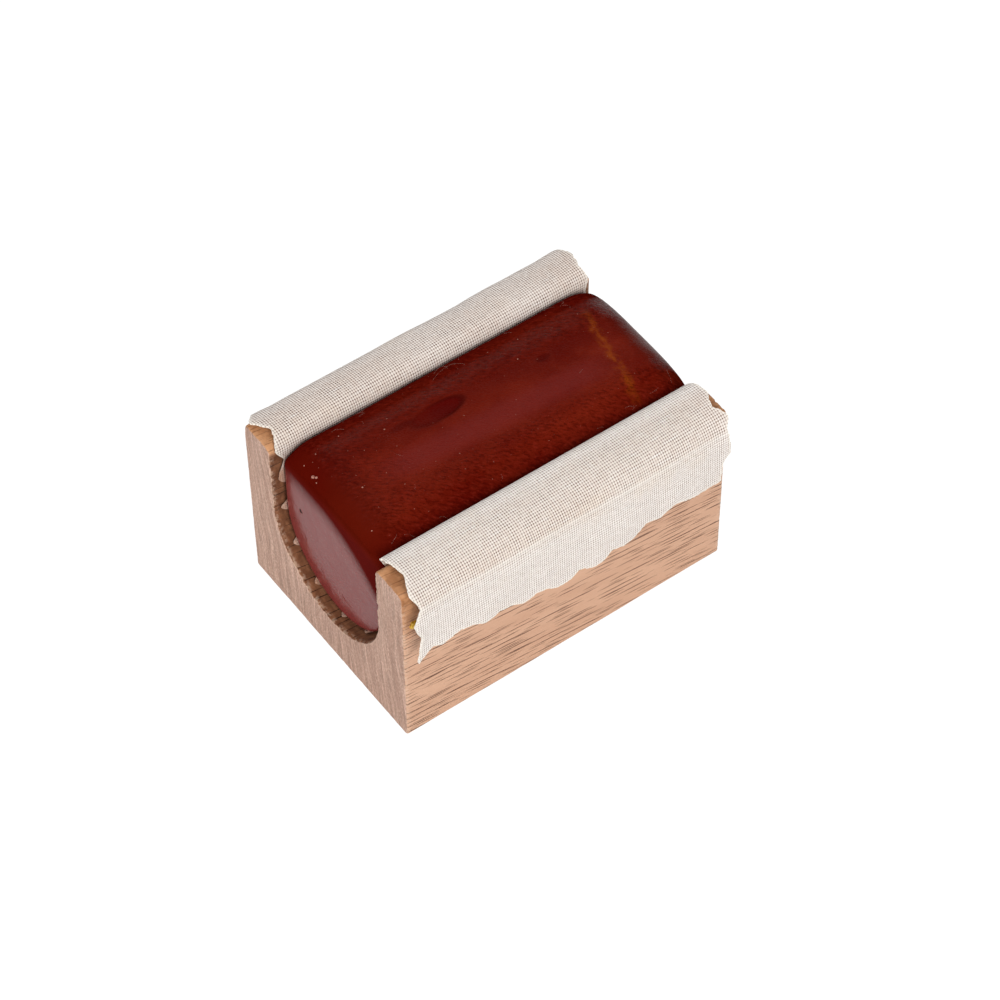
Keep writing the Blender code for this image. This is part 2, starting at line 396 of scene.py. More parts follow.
def beech_material():
    """Sanded beech: dark pore dashes along the grain on the long faces, growth
    rings and pores on the end faces, a trough darkened by machining and painted
    shade, and crests and wood under the cloth darkened by resin stain and painted shade."""
    # Long faces
    light, dark = (0.690, 0.420, 0.284), (0.61, 0.355, 0.235)
    pale_fibre, dark_fibre = (0.78, 0.515, 0.37), (0.44, 0.24, 0.16)
    vessel = (0.100, 0.036, 0.018)
    # End faces
    end_light, end_dark = (0.69, 0.455, 0.355), (0.47, 0.285, 0.215)
    groove_dark, pore_dark = (0.31, 0.190, 0.142), (0.28, 0.165, 0.12)
    ray_pale = (0.80, 0.620, 0.52)
    # Trough, crests and corners
    burnt_shade_dark, burnt_shade_light = (0.135, 0.046, 0.019), (0.245, 0.100, 0.046)
    burnt_shade_vessel = (0.030, 0.010, 0.005)
    stain_shade_light, stain_shade_dark = (0.62, 0.305, 0.140), (0.400, 0.170, 0.066)
    stain_shade_vessel = (0.20, 0.085, 0.040)
    knocked = (0.76, 0.55, 0.41)

    mat = new_material("beech_wood")
    along, around, _ = mat.split(mat.layout())
    place = mat.millimetres()
    x, y, z = mat.split(place)
    trough = mat.attribute("trough")
    crest = mat.attribute("crest")
    end = mat.attribute("end").ramp(start=0.35, stop=0.65)
    outside = abs(y).ramp(start=HALF_WIDTH - 0.35, stop=HALF_WIDTH - 0.15)

    # Long faces: grain runs along x at a slight slant, with a slow wander.
    wander = mat.noise((along * 0.030, around * 0.08), detail=1.0)
    shake = mat.noise((along * 0.25, around * 0.5, 2.0))
    lane = around - along * 0.115 + wander * 0.9 + shake * 0.12
    tone = mat.noise((along * 0.025, lane * 0.28, 3.0), detail=3.0)
    fibre = mat.noise((along * 0.20, lane * 5.0, 7.0), detail=4.0, rough=0.65)
    fine = mat.noise((along * 0.8, lane * 13.0, 9.0), rough=0.6)

    dash_short, dash_mid, dash_long = (
        vessel_dashes(mat, along, lane, length, pitch, half_width, kept, shift)
        for length, pitch, half_width, kept, shift in (
            (2.8, 0.55, 0.052, 0.26, 3.0),
            (6.5, 0.80, 0.076, 0.62, 31.0),
            (11.0, 1.15, 0.090, 0.88, 57.0),
        )
    )
    # Only the long dashes show fully in the trough.
    weak = 1.0 - trough * 0.75
    dash = (dash_short * (weak * 0.50)).maximum(dash_mid * (weak * 0.95)).maximum(dash_long)

    face = mat.mix(tone.ramp(start=0.20, stop=0.80), dark, light)
    face = mat.mix(fibre.ramp(start=0.44, stop=0.64) * 0.17, face, pale_fibre)
    face = mat.mix(fine.ramp(start=0.55, stop=0.35) * 0.13, face, dark_fibre)
    face = mat.mix(dash * 0.95, face, vessel)

    # End faces: ring lines close to upright, crossed by fine pale rays.
    bend = mat.noise((y * 0.05, z * 0.035, 21.0))
    across = y + z * -0.10 + bend * 5.0
    ring = mat.noise((across * 1.35, z * 0.035, 4.0), detail=3.0, rough=0.55)
    grooves = mat.noise((across * 3.1, z * 0.16, 5.0), detail=4.0, rough=0.62)
    pores = mat.noise((across * 7.5, z * 1.7, 6.0), detail=3.0, rough=0.7)
    cut = mat.mix(ring.ramp(start=0.30, stop=0.70), end_dark, end_light)
    cut = mat.mix(grooves.ramp(start=0.54, stop=0.38) * 0.70, cut, groove_dark)
    cut = mat.mix(pores.ramp(start=0.56, stop=0.38) * 0.52, cut, pore_dark)
    cut = mat.mix(pores.ramp(start=0.54, stop=0.68) * 0.52, cut, ray_pale)

    # The machined trough is darker than the long faces: partly burnish from the machining, partly
    # painted shade.
    scorch_and_shade = mat.noise((along * 0.9, around * 0.55, 13.0), detail=3.0, rough=0.6)
    burnt_and_shaded = mat.mix(scorch_and_shade.ramp(start=0.35, stop=0.70), burnt_shade_dark, burnt_shade_light)
    burnt_and_shaded = mat.mix(0.03, burnt_and_shaded, face)
    burnt_and_shaded = mat.mix(dash * 0.95, burnt_and_shaded, burnt_shade_vessel)
    face = mat.mix(trough, face, burnt_and_shaded)

    # The crests and the wood just below the cloth are darker and more orange: resin stain, and
    # painted shade with warm light from the cloth.
    stain_shade_noise = mat.noise(place, scale=0.45, detail=3.0, rough=0.6)
    stained_and_shaded = mat.mix(stain_shade_noise.ramp(start=0.36, stop=0.66), stain_shade_light, stain_shade_dark)
    stained_and_shaded = mat.mix(dash * 0.35, stained_and_shaded, stain_shade_vessel)
    ragged_z = z + (mat.noise((along * 0.35, around * 1.3, 19.0), detail=3.0) - 0.5) * 2.4
    fade = outside * ragged_z.ramp(start=HEIGHT - 3.4, stop=HEIGHT - 1.1)
    face = mat.mix(crest.maximum(fade) * 0.90, face, stained_and_shaded)
    # Painted shade and resin stain on the outer faces under the flaps, near the block's ends.
    tips = abs(x).ramp(start=HALF_LENGTH - 7.0, stop=HALF_LENGTH - 3.0)
    below = outside * z.ramp(start=HEIGHT - 13.0, stop=HEIGHT - 3.0) * tips
    face = mat.mix(below * 0.80, face, stained_and_shaded)
    colour = mat.mix(end, face, cut)

    # Corners are knocked pale by handling, less so near the top.
    chafe = mat.noise(place, scale=1.7, detail=3.0).ramp(start=0.42, stop=0.62)
    rub = mat.attribute("corner") * chafe
    near_top = z.ramp(start=HEIGHT - 2.5, stop=HEIGHT - 1.5)
    colour = mat.mix(rub * (0.40 - near_top * 0.34), colour, knocked)

    relief_face = (fibre + fine * 0.5) * 0.35 - dash
    relief_end = grooves * 0.9 + pores * 0.7
    relief = mat.blend(end, relief_face, relief_end)
    return mat.set(
        Base_Color=colour,
        Roughness=0.56 + fibre * 0.16 - crest * 0.14 + end * 0.10,
        Specular_IOR_Level=0.32,
        Normal=mat.bump(relief, distance_mm=0.10, strength=0.8),
    )


def oval(off_x, off_y, half_x, half_y):
    """Distance from an oval's centre, 1 on its outline."""
    return (abs(off_x / half_x) ** 2.0 + abs(off_y / half_y) ** 2.0).sqrt()


def rosin_material():
    """Cast rosin: glossy, deep red-brown, lit a little from inside."""
    deep, warm = (0.096, 0.0030, 0.0009), (0.160, 0.0118, 0.0040)
    mottled = (0.180, 0.0170, 0.0064)
    # Edges and the front face
    ridge_shade_red, far_reflection_red = (0.078, 0.0042, 0.0014), (0.078, 0.0100, 0.0034)
    side_shade_red, left_shade_red = (0.072, 0.0026, 0.0012), (0.080, 0.0024, 0.0009)
    front_shade_dark, front_reflection_pale = (0.090, 0.0065, 0.0060), (0.206, 0.0310, 0.0310)
    # Marks on the crown and the pinhole
    highlight_band_red, glow_amber = (0.162, 0.0160, 0.0130), (0.235, 0.040, 0.003)
    hollow_shade, hollow_rim_shade = (0.078, 0.0012, 0.0006), (0.034, 0.0006, 0.0003)
    tail_dark, pocket_shade = (0.050, 0.0008, 0.0004), (0.060, 0.0010, 0.0004)
    pit_highlight, pit_shade = (0.34, 0.130, 0.115), (0.014, 0.0016, 0.0012)
    skin_light, skin_dark = (0.200, 0.0170, 0.0095), (0.042, 0.0008, 0.0004)

    mat = new_material("rosin_resin")
    place = mat.millimetres()
    x, y, z = mat.split(place)

    cloud = mat.noise((x * 0.055, y * 0.09, z * 0.09), detail=3.0, rough=0.55)
    mottle = mat.noise(place, scale=0.55, detail=4.0, rough=0.6)
    colour = mat.mix(cloud.ramp(start=0.30, stop=0.70), deep, warm)
    colour = mat.mix(mottle.ramp(start=0.46, stop=0.72) * 0.30, colour, mottled)

    # Towards the cast edges and the poured front: painted shade darkens the front ridge and the
    # crown's sides, the far edge gets a browner painted reflection, and the front face a painted
    # reflection of the floor.
    side = abs(y).ramp(start=8.5, stop=13.0)
    front = x.ramp(start=-23.0, stop=-27.6)
    far = x.ramp(start=24.5, stop=28.6)
    top = z.ramp(start=30.0, stop=33.0)
    ridge = x.ramp(start=-21.0, stop=-26.0)
    # Painted shade on the crown's front ridge.
    colour = mat.mix(ridge * top * 0.80, colour, ridge_shade_red)
    # Painted reflection of the floor on the front face: pale towards its foot, painted dark towards
    # its top.
    slant = (4.0 - y).maximum(0.0) ** 2.0 * 0.029
    low_face = (z + slant).ramp(start=30.8, stop=26.2)
    front_reflection = mat.mix(low_face, front_shade_dark, front_reflection_pale)
    colour = mat.mix(front * (1.0 - top) * 0.85, colour, front_reflection)
    # Painted reflection: the far edge of the crown is browner.
    colour = mat.mix(far * top * 0.60, colour, far_reflection_red)
    # Painted shade on the crown's sides.
    colour = mat.mix(side * top * 0.65, colour, side_shade_red)

    # Painted shade darkens the left of the crown, and a painted highlight runs as a lighter band
    # along its middle.
    left_part = top * (y + x * 0.04).ramp(start=-0.4, stop=4.2)
    colour = mat.mix(left_part * 0.52, colour, left_shade_red)
    # Painted highlight: the lighter band stands for a reflection of the light along the crown's
    # middle.
    highlight_band = abs(y + 2.5 + x * 0.05).ramp(start=3.4, stop=0.6)
    highlight_band = highlight_band * (x.ramp(start=-22.5, stop=-15.0) * x.ramp(start=23.0, stop=15.0))
    colour = mat.mix(highlight_band * top * 0.62, colour, highlight_band_red)

    # The hollow on the crown is painted darker, with a darker outline, as painted shade in its
    # dent, with a dark tail in front of it and a small dark pocket behind it.
    off_x = x - HOLLOW[0]
    off_y = y - HOLLOW[1] - off_x * HOLLOW_SLOPE
    hollow = oval(off_x, off_y, half_x=4.9, half_y=1.70)
    clear = 0.45 + off_x.ramp(start=-3.5, stop=2.0) * 0.45
    colour = mat.mix(hollow.ramp(start=1.06, stop=0.82) * clear, colour, hollow_shade)
    outline = hollow.ramp(start=0.72, stop=0.92) * hollow.ramp(start=1.16, stop=0.98)
    rim_share = 0.18 + off_x.ramp(start=-2.5, stop=2.5) * 0.34
    colour = mat.mix(outline * top * rim_share, colour, hollow_rim_shade)
    tail = oval(x - -12.2, y - 4.5, half_x=2.6, half_y=0.8)
    colour = mat.mix(tail.ramp(start=1.2, stop=0.4) * top * 0.45, colour, tail_dark)
    # Painted shade in the small pocket's dent.
    pocket = oval(x - POCKET[0], y - POCKET[1], half_x=1.5, half_y=0.75)
    colour = mat.mix(pocket.ramp(start=1.1, stop=0.6) * top * 0.60, colour, pocket_shade)

    # A painted glow across the far end: amber light that passes through the bar.
    sway = mat.noise((y * 0.55, 5.0))
    centre = 22.1 + y * 0.20 + (sway - 0.5) * 2.4
    patch = mat.noise((x * 0.9, y * 0.55, 8.0), detail=3.0, rough=0.6)
    glow = abs(x - centre).ramp(start=1.30, stop=0.10) * patch.ramp(start=0.34, stop=0.66)
    glow = glow * (y.ramp(start=8.0, stop=4.5) * y.ramp(start=-12.8, stop=-9.0))
    colour = mat.mix(glow * (top * 0.80), colour, glow_amber)

    # The pinhole in the front face is painted dark inside as painted shade, with a faint painted
    # highlight on its lip.
    pit = ((y - PINHOLE[0]) ** 2.0 + (z - PINHOLE[1]) ** 2.0).sqrt()
    colour = mat.mix(front * (pit.ramp(start=0.80, stop=0.40) * 0.32), colour, pit_highlight)
    colour = mat.mix(front * pit.ramp(start=0.50, stop=0.28), colour, pit_shade)

    # Skin wrinkles, stronger away from the middle of the crown.
    calm = abs(y + 0.4 + x * 0.05).ramp(start=6.9, stop=4.3)
    calm = calm * (0.25 + x.ramp(start=-20.0, stop=-13.0) * 0.75)
    warp = mat.noise(place, scale=0.35, distort=0.6)
    run = x * 0.80 - y * 0.60
    over = x * 0.60 + y * 0.80
    wrinkle = {"detail": 3.0, "rough": 0.6, "distort": 0.4}
    fine = mat.noise((run * 1.15, over * 2.90, z * 1.0), **wrinkle)
    tiny = mat.noise((run * 2.4, over * 4.6, z * 3.0), **wrinkle)
    skin = top * (1.0 - calm * 0.82)
    skin = skin * hollow.ramp(start=1.0, stop=1.25) * x.ramp(start=-27.0, stop=-24.0)
    height = (fine * 1.0 + tiny * 0.35) * (0.012 + skin) + warp * 0.30
    # Light gathers on the ridges of the skin and is lost between them.
    colour = mat.mix(skin * (fine.ramp(start=0.52, stop=0.64) * 0.34), colour, skin_light)
    colour = mat.mix(skin * (fine.ramp(start=0.48, stop=0.38) * 0.48), colour, skin_dark)

    # The shine fades at the sides, and on the front face grows towards its foot.
    side_loss = abs(y).ramp(start=6.0, stop=9.5) * (1.0 - front) * 0.12
    shine = 0.12 - side_loss + front * (low_face * 0.22 - 0.12)
    return mat.set(
        Base_Color=colour,
        Roughness=0.15 + tiny.ramp(start=0.35, stop=0.75) * 0.10 + calm * 0.10,
        IOR=1.54,
        Specular_IOR_Level=shine,
        Normal=mat.bump(height, distance_mm=0.40, strength=0.9),
    )


def calico_material():
    """Undyed plain-weave cotton, drawn thread by thread from the cloth layout.
    Threads a are counted along x, threads b along t."""
    yarn_dull, yarn_light = (0.82, 0.720, 0.650), (0.87, 0.790, 0.725)
    yarn_thick, yarn_closed = (0.92, 0.860, 0.810), (0.945, 0.930, 0.910)
    stained, seed_brown = (0.88, 0.75, 0.61), (0.30, 0.19, 0.11)
    gap_shadow, hole_dark = (0.44, 0.29, 0.225), (0.128, 0.056, 0.035)
    edge_highlight, crease_highlight = (0.96, 0.90, 0.81), (0.95, 0.915, 0.87)
    glue_shade_dark, glue_shade_light = (0.29, 0.108, 0.046), (0.53, 0.255, 0.135)
    resin_stain_and_shade = (0.27, 0.130, 0.092)

    mat = new_material("calico_weave")
    u, v, _ = mat.split(mat.layout())
    drift_u = mat.noise((u * 0.16, v * 0.05, 1.0))
    drift_v = mat.noise((u * 0.05, v * 0.16, 2.0))
    count_a = u / THREAD_X + drift_u * 1.1
    count_b = v / THREAD_T + drift_v * 1.1
    thread_a, thread_b = count_a.floor(), count_b.floor()

    # Each thread is a little thicker or thinner along its length.
    slub_a = mat.noise((thread_a * 7.31, v * 0.28, 3.0), detail=1.0)
    slub_b = mat.noise((u * 0.28, thread_b * 5.77, 4.0), detail=1.0)
    round_a = abs((count_a * math.pi).sine())
    round_b = abs((count_b * math.pi).sine())
    parity = abs((thread_a + thread_b) % 2.0)
    over_a = round_a**0.55 * (0.55 + round_b * 0.45)
    over_b = round_b**0.55 * (0.55 + round_a * 0.45)
    height = mat.blend(parity, over_a, over_b)

    # Open pinholes where four threads meet, wider where threads run thin.
    thin = slub_a * 0.5 + slub_b * 0.5
    limit = 0.70 + (thin - 0.5) * 0.9
    hole = mat.math("MULTIPLY", limit - round_a.maximum(round_b), 4.5, clamp=True)
    gap_a = round_a.ramp(start=0.66, stop=0.14)
    gap_b = round_b.ramp(start=0.50, stop=0.12)

    # The weave is opener and warmer over the walls, closer on the hanging part.
    opened = mat.attribute("open")
    yarn = mat.mix(slub_a.ramp(start=0.30, stop=0.70), yarn_dull, yarn_light)
    yarn = mat.mix(slub_b.ramp(start=0.58, stop=0.80), yarn, yarn_thick)
    yarn = mat.mix((1.0 - opened) * 0.60, yarn, yarn_closed)
    stain = mat.noise((u * 0.10, v * 0.16, 11.0), detail=3.0, rough=0.55)
    yarn = mat.mix(stain.ramp(start=0.52, stop=0.74) * 0.22, yarn, stained)
    looseness = mat.noise((u * 1.3, v * 1.1, 23.0), detail=3.0, rough=0.6)
    loose = 0.60 + looseness.ramp(start=0.32, stop=0.68) * 0.66
    colour = mat.mix(gap_b * loose * (0.56 - opened * 0.12), yarn, gap_shadow)
    colour = mat.mix(gap_a * loose * (0.36 + opened * 0.40), colour, gap_shadow)
    # The pinholes are painted dark brown: painted shade, with the wood behind showing through.
    colour = mat.mix(hole * loose.minimum(1.0) * (0.55 + opened * 0.43), colour, hole_dark)

    # Scattered brown seed flecks.
    distance, cell_colour = mat.cells((u * 0.55, v * 1.7))
    chance = mat.split(cell_colour)[1]
    seed = distance.ramp(start=0.11, stop=0.05) * chance.ramp(start=0.10, stop=0.04)
    colour = mat.mix(seed * 0.6, colour, seed_brown)

    # Painted highlights along the cut edges and the crease, glue soaked in at the ends with painted
    # shade over it, resin stain and painted shade by the bar.
    hem = mat.attribute("hem")
    colour = mat.mix(hem.ramp(start=0.55, stop=0.1) * 0.55, colour, edge_highlight)
    # Painted highlight along the crease of the right flap.
    colour = mat.mix(mat.attribute("crease") * 0.40, colour, crease_highlight)
    # Glue soaked into the cut ends in the trough, darkened further with painted shade.
    blot = mat.noise((u * 0.9, v * 0.7, 17.0), detail=3.0, rough=0.6)
    glued_and_shaded = mat.mix(blot.ramp(start=0.35, stop=0.65), glue_shade_dark, glue_shade_light)
    colour = mat.mix(mat.attribute("glue_and_shade") * 0.92, colour, glued_and_shaded)
    # Resin stain and painted shade on the cloth beside the bar.
    colour = mat.mix(mat.attribute("stain_and_shade") * 0.85, colour, resin_stain_and_shade)
    return mat.set(
        Base_Color=colour,
        Roughness=0.80 + height * 0.14,
        Specular_IOR_Level=0.22,
        Sheen_Weight=0.06,
        Normal=mat.bump(height, distance_mm=0.11, strength=0.85),
    )


def glue_material():
    brown, amber = (0.52, 0.25, 0.012), (0.86, 0.56, 0.055)
    mat = new_material("dried_glue")
    place = mat.millimetres()
    swirl = mat.noise(place, scale=1.6, detail=4.0, rough=0.6, distort=0.8)
    fine = mat.noise(place, scale=5.0, detail=3.0, rough=0.6)
    return mat.set(
        Base_Color=mat.mix(swirl.ramp(start=0.35, stop=0.65), brown, amber),
        Roughness=0.16 + fine * 0.2,
        IOR=1.5,
        Normal=mat.bump(swirl + fine * 0.3, distance_mm=0.10, strength=0.8),
    )


def lint_material(name, dark, light):
    mat = new_material(name)
    grain = mat.noise(mat.millimetres(), scale=3.5, detail=3.0, rough=0.6)
    return mat.set(
        Base_Color=mat.mix(grain.ramp(start=0.35, stop=0.65), dark, light),
        Roughness=0.6 + grain * 0.3,
        Normal=mat.bump(grain, distance_mm=0.02, strength=0.6),
    )


beech = beech_material()
resin = rosin_material()
calico = calico_material()
glue = glue_material()
dust = lint_material("pale_dust", dark=(0.25, 0.080, 0.058), light=(0.46, 0.220, 0.165))
cotton = lint_material("cotton_fibre", dark=(0.34, 0.20, 0.17), light=(0.58, 0.43, 0.37))


# ---------------------------------------------------------------- wood block
def arc(centre_y, centre_z, radius, start, stop, steps):
    """Points along an arc between two angles in degrees, without the last."""
    angle = np.radians(np.linspace(start, stop, steps + 1)[:-1])
    return np.stack([centre_y + radius * np.cos(angle), centre_z + radius * np.sin(angle)], 1)


def line(start, stop, steps):
    """Points along a straight line, without the last."""
    share = np.linspace(0, 1, steps + 1)[:-1, None]
    return np.array(start, float) * (1 - share) + np.array(stop, float) * share


def block_outline(inset):
    """The block's U-shaped section drawn in by inset, anticlockwise in (y, z), with a
    region for each point: 0 outside, 1 crest, 2 trough, 3 underside."""
    half, top, foot = HALF_WIDTH - inset, HEIGHT - inset, inset
    inner = TROUGH_R + inset
    crest = max(CREST_ROUND - inset, 0.12)
    toe = max(FOOT_ROUND - inset, 0.12)
    parts = [
        (line((-half + toe, foot), (half - toe, foot), 90), 3),
        (arc(half - toe, foot + toe, toe, -90, 0, 5), 0),
        (line((half, foot + toe), (half, top - crest), 76), 0),
        (arc(half - crest, top - crest, crest, 0, 90, 7), 1),
        (line((half - crest, top), (inner + crest, top), 11), 1),
        (arc(inner + crest, top - crest, crest, 90, 180, 7), 1),
        (line((inner, top - crest), (inner, AXIS_Z), 28), 2),
        (arc(0, AXIS_Z, inner, 0, -180, 106), 2),
        (line((-inner, AXIS_Z), (-inner, top - crest), 28), 2),
        (arc(-inner - crest, top - crest, crest, 0, 90, 7), 1),
        (line((-inner - crest, top), (-half + crest, top), 11), 1),
        (arc(-half + crest, top - crest, crest, 90, 180, 7), 1),
        (line((-half, top - crest), (-half, foot + toe), 76), 0),
        (arc(-half + toe, foot + toe, toe, 180, 270, 5), 0),
    ]
    region = np.concatenate([np.full(len(part), kind) for part, kind in parts])
    return np.concatenate([part for part, _ in parts]), region


def loop_normals(points):
    """Outward normals of an anticlockwise closed loop."""
    ahead = np.roll(points, -1, 0) - np.roll(points, 1, 0)
    ahead /= np.linalg.norm(ahead, axis=1)[:, None] + 1e-12
    return np.stack([ahead[:, 1], -ahead[:, 0]], 1)


def block_stations():
    """Sections along the block, as (inset, x, share of an end face)."""
    # Here x is still the distance in from the end.
    rim = [(END_ROUND + extra, 0.0, 1.0) for extra in (1.3, 0.55, 0.12)]
    for i in range(5):
        angle = math.radians(90 * i / 4)
        inset = END_ROUND * (1 - math.sin(angle))
        rim.append((inset, END_ROUND * (1 - math.cos(angle)), math.cos(angle) ** 2))
    middle_x = np.linspace(-HALF_LENGTH + END_ROUND, HALF_LENGTH - END_ROUND, 101)[1:-1]
    stations = [(inset, -HALF_LENGTH + into, share) for inset, into, share in rim]
    stations += [(0.0, x, 0.0) for x in middle_x]
    stations += [(inset, HALF_LENGTH - into, share) for inset, into, share in rim[::-1]]
    return stations


def make_block():
    base, region = block_outline(0.0)
    count = len(base)
    out = loop_normals(base)
    gaps = np.linalg.norm(np.roll(base, -1, 0) - base, axis=1)
    around = np.concatenate([[0], np.cumsum(gaps)[:-1]])
    trough = np.where(region == 2, 1.0, 0.0)
    crest = np.where(region == 1, 1.0, 0.0)
    for _ in range(2):
        crest = (np.roll(crest, 1) + crest + np.roll(crest, -1)) / 3
        trough = (np.roll(trough, 1) + trough + np.roll(trough, -1)) / 3
    # How sharply the section turns, which marks its long corners.
    turn = 1 - np.sum(out * np.roll(out, 1, 0), axis=1)
    turn = np.clip(turn * 40, 0, 1) * np.where(region == 2, 0.0, 1.0)
    soft = np.maximum(trough, crest * 0.8) * 0.17 + 0.035
    stations = block_stations()
    rows = len(stations)
    points, uvs, end, corner = [], [], [], []
    for inset, x, share in stations:
        loop, _ = block_outline(inset)
        sign = -1 if x < 0 else 1
        depth = HALF_LENGTH - abs(x)
        # Machined faces are never quite flat.
        swell = 0.030 * noise(x / 9.0, around / 5.0, 3.0, seed=1)
        swell = swell + 0.012 * noise(x / 2.2, around / 0.9, 5.0, seed=2)
        swell = swell * max(0.0, 1 - inset / (END_ROUND + 0.5))
        loop = loop + out * swell[:, None]
        # Torn fibres along the trough's rim and the crests' ends.
        torn = noise(around / 0.75, sign * 3.0, seed=4)
        torn = np.clip(torn + 0.55 * noise(around / 0.33, sign * 5.0, seed=5), 0, 2)
        near = math.exp(-((depth / 0.55) ** 2)) * (1 if inset <= END_ROUND + 0.2 else 0)
        pull = torn * soft * near
        # Ends are sawn and sanded with a faint dish.
        dish = 0.0
        if depth < 1e-6:
            wave = noise(loop[:, 0] / 4.0, loop[:, 1] / 7.0, sign * 2.0, seed=6)
            dish = 0.03 + 0.03 * wave
        points.append(np.column_stack([x - sign * pull - sign * dish, loop]))
        uvs.append(np.column_stack([np.full(count, x), around]))
        end.append(np.full(count, share))
        corner.append(np.clip(turn + (1.0 if 0 < depth < 0.5 else 0.0), 0, 1))
    # Each quad starts at its second corner, which sets the diagonal it splits along.
    quads = [face[1:] + face[:1] for face in ring_faces(rows, count)]
    faces = quads + cap_faces(rows, count)
    made = build("wood_block", np.concatenate(points), faces, beech, uvs=np.concatenate(uvs))
    point_attribute(made, "trough", np.tile(trough, rows))
    point_attribute(made, "crest", np.tile(crest, rows))
    point_attribute(made, "end", np.concatenate(end))
    point_attribute(made, "corner", np.concatenate(corner))
    return made


# ----------------------------------------------------------------- rosin bar
RING_COUNT = 250
# Distances in from an end face of the rings that round its edge.
EDGE_DEPTHS = (
    0.0, 0.03, 0.08, 0.16, 0.28, 0.42, 0.56, 0.75,
    1.0, 1.3, 1.65, 2.05, 2.5, 3.0, 3.55, POUR_DEPTH,
)


def rosin_outline(inset_cast, inset_pour):
    """The bar's section in (y, z), anticlockwise: a round cast underside drawn in by
    inset_cast and a flatter poured crown drawn in by inset_pour."""
    angle = np.radians(np.linspace(180, 360, 97))
    radius = ROSIN_R - inset_cast
    lower = np.stack([radius * np.cos(angle), AXIS_Z + radius * np.sin(angle)], 1)
    angle = np.linspace(0, math.pi, 121)
    cosine = np.cos(angle)
    across = np.sign(cosine) * np.abs(cosine) ** (2 / CROWN_POWER)
    lift = np.sin(angle) ** (2 / CROWN_POWER)
    lift[0] = lift[-1] = 0.0
    half = ROSIN_R - inset_cast - (inset_pour - inset_cast) * lift * 0.45
    height = SHOULDER_Z - inset_pour * 0.25 + (CROWN - inset_pour * 0.75) * lift
    return np.concatenate([lower, np.stack([half * across, height], 1)])


def even_loop(points):
    """The same closed loop as RING_COUNT points spread evenly."""
    closed = np.concatenate([points, points[:1]])
    gaps = np.linalg.norm(np.diff(closed, axis=0), axis=1)
    keep = np.concatenate([[True], gaps > 1e-7])
    closed = closed[keep]
    lengths = np.linalg.norm(np.diff(closed, axis=0), axis=1)
    at = np.concatenate([[0], np.cumsum(lengths)])
    goal = np.linspace(0, at[-1], RING_COUNT, endpoint=False)
    return np.stack([np.interp(goal, at, closed[:, k]) for k in (0, 1)], 1)


def end_rings(face, into):
    """Rings rounding one end, from its face inwards; into is +1 or -1 along x."""
    rings = []
    for depth in EDGE_DEPTHS:
        part = min(1.0, depth / CAST_EDGE)
        cast = CAST_EDGE * (1 - math.sqrt(max(0.0, 1 - (1 - part) ** 2)))
        left = 1 - depth / POUR_DEPTH
        pour = POUR_DROP * (1 - (1 - left**POUR_POWER) ** (1 / POUR_POWER))
        rings.append((face + into * depth, even_loop(rosin_outline(cast, pour))))
    return rings


def oval_distance(x, y, centre, slope, half_x, half_y):
    """Distance from a slanted oval's centre, 1 on its outline."""
    off_x = x - centre[0]
    off_y = y - centre[1] - slope * off_x
    return np.sqrt((off_x / half_x) ** 2 + (off_y / half_y) ** 2)


def rosin_shift(points, normals):
    """How far each point of the bar moves along its normal."""
    x, y, z = points.T
    up = smooth(0.25, 0.9, normals[:, 2]) * smooth(30.0, 33.0, z)
    ahead = smooth(0.5, 0.98, -normals[:, 0])
    slow = 0.13 * noise(x / 9.0, y / 6.5, seed=11)
    shift = up * (slow + 0.035 * noise(x / 2.6, y / 1.7, seed=12))
    wrinkled = np.maximum(
        smooth(4.3, 6.9, np.abs(y + 0.4 + 0.05 * x)), 0.7 * smooth(-13.0, -20.0, x)
    )
    shift += up * 0.022 * noise(x / 0.95, y / 0.75, seed=13) * wrinkled
    # A shallow sink along the middle, two hollows left by the pour, and a rim.
    shift -= up * 0.16 * np.exp(-(((y + 0.6 + 0.06 * x) / 4.4) ** 2))
    large = oval_distance(x, y, HOLLOW, HOLLOW_SLOPE, half_x=4.9, half_y=1.75)
    shift -= up * 0.30 * smooth(1.05, 0.45, large)
    shift += up * 0.05 * np.exp(-(((large - 1.12) / 0.14) ** 2))
    small = oval_distance(x, y, POCKET, 0.0, half_x=1.5, half_y=0.8)
    shift -= up * 0.14 * smooth(1.1, 0.3, small)
    # The cast faces follow the mould, with a faint wave.
    shift += (1 - up) * 0.02 * noise(x / 7.0, y / 5.0, z / 5.0, seed=14)
    # A pinhole on the front face, and a chip on its upper edge.
    pit = np.hypot(y - PINHOLE[0], z - PINHOLE[1])
    shift -= ahead * 0.38 * (1 - smooth(0.12, 0.40, pit))
    chip = 0.12 * smooth(0.9, 0.2, np.hypot(y - 4.9, z - 34.3))
    shift -= chip * smooth(-24.0, -27.0, x) * (0.6 + 0.4 * noise(y * 3, z * 3, seed=15))
    # Stay just clear of the cloth all round.
    radial = np.hypot(y, np.minimum(z - AXIS_Z, 0.0))
    room = np.clip(ROSIN_R + 0.04 - radial, 0.0, None)
    cloth_side = (z < SHOULDER_Z) & (np.abs(normals[:, 0]) < 0.5)
    return np.where(cloth_side, np.minimum(shift, room), shift)


